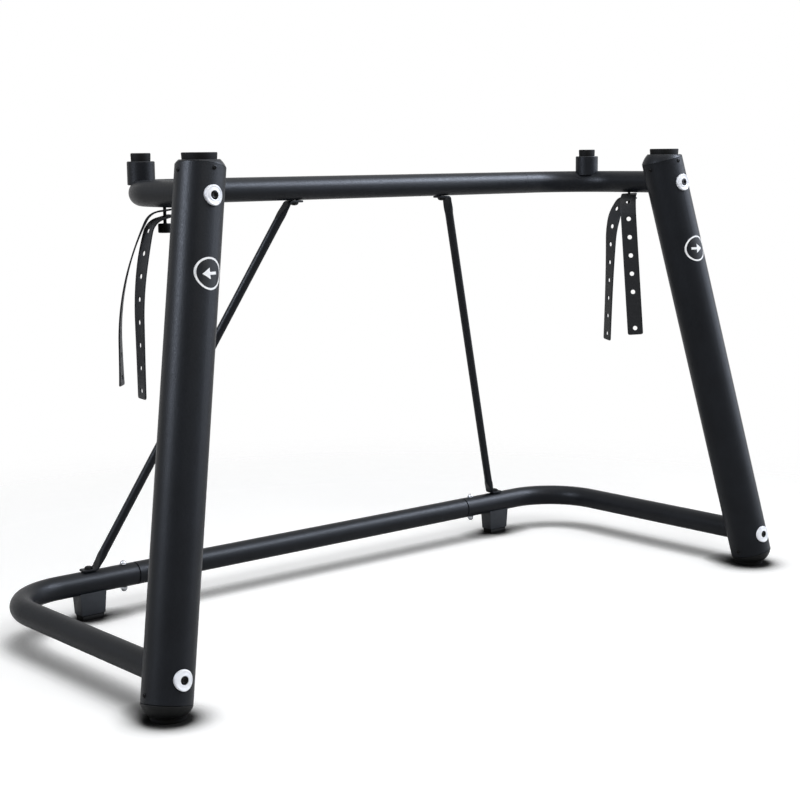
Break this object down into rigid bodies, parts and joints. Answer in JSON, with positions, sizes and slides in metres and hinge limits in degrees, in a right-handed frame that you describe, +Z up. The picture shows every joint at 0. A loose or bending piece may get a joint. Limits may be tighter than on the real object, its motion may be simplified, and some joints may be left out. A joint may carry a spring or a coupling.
{
  "type": "keyboard stand",
  "caption": "Black tubular stand for a stage keyboard: leaning columns, bent base and top tubes, rear braces, rubber rests and perforated cable straps.",
  "frame": {"origin": "on the floor, at the middle of the stand's width and depth", "axes": "+X across the stand to the player's right, +Y from the player's side to the back, +Z up"},
  "size_m": [1.1134, 0.467, 0.6315],
  "materials": {
    "powder_coat": "satin",
    "black_plastic": "matte",
    "pad_rubber": "matte",
    "strap_rubber": "matte",
    "white_washer": "satin",
    "chrome_hardware": "polished",
    "black_steel": "satin",
    "plain_steel": "satin"
  },
  "bodies": {
    "stand": {"left_column": "powder_coat", "right_column": "powder_coat", "base_left_corner_tube": "powder_coat", "base_rear_tube": "powder_coat", "base_right_corner_tube": "powder_coat", "top_left_corner_tube": "powder_coat", "top_rear_tube": "powder_coat", "top_right_corner_tube": "powder_coat", "left_peg_sleeve": "powder_coat", "right_peg_sleeve": "powder_coat", "left_brace": "powder_coat", "right_brace": "powder_coat", "left_head_cap": "black_plastic", "right_head_cap": "black_plastic", "left_foot_cap": "black_plastic", "right_foot_cap": "black_plastic", "left_rear_foot": "black_plastic", "right_rear_foot": "black_plastic", "left_head_pad": "pad_rubber", "right_head_pad": "pad_rubber", "left_foot_pad": "pad_rubber", "right_foot_pad": "pad_rubber", "left_peg_tip": "pad_rubber", "right_peg_tip": "pad_rubber", "left_rear_foot_pad": "pad_rubber", "right_rear_foot_pad": "pad_rubber", "column_washers": "white_washer", "base_joint_bolts": "chrome_hardware", "base_joint_dome_nuts": "chrome_hardware", "column_bolts": "black_steel", "cap_screws": "black_steel", "brace_top_bolts": "black_steel", "brace_foot_bolts": "black_steel", "left_strap_stud": "black_steel", "right_strap_stud": "black_steel", "arm_inserts": "plain_steel", "brace_top_nuts": "plain_steel", "brace_foot_nuts": "plain_steel", "peg_screws": "plain_steel"},
    "left_front_strap": {"left_front_strap": "strap_rubber"},
    "left_back_strap": {"left_back_strap": "strap_rubber"},
    "right_front_strap": {"right_front_strap": "strap_rubber"},
    "right_back_strap": {"right_back_strap": "strap_rubber"}
  },
  "joints": [
    {"name": "left_front_strap_swivel", "type": "hinge", "parent": "stand", "child": "left_front_strap", "pos_m": [-0.41237, -0.04847, 0.5575], "axis": [0, 0, 1], "range_deg": [-30, 12]},
    {"name": "left_back_strap_swivel", "type": "hinge", "parent": "stand", "child": "left_back_strap", "pos_m": [-0.41237, -0.04847, 0.5575], "axis": [0, 0, 1], "range_deg": [-12, 30]},
    {"name": "right_front_strap_swivel", "type": "hinge", "parent": "stand", "child": "right_front_strap", "pos_m": [0.41237, -0.04847, 0.5575], "axis": [0, 0, 1], "range_deg": [-1, 20]},
    {"name": "right_back_strap_swivel", "type": "hinge", "parent": "stand", "child": "right_back_strap", "pos_m": [0.41237, -0.04847, 0.5575], "axis": [0, 0, 1], "range_deg": [-20, 2]}
  ]
}
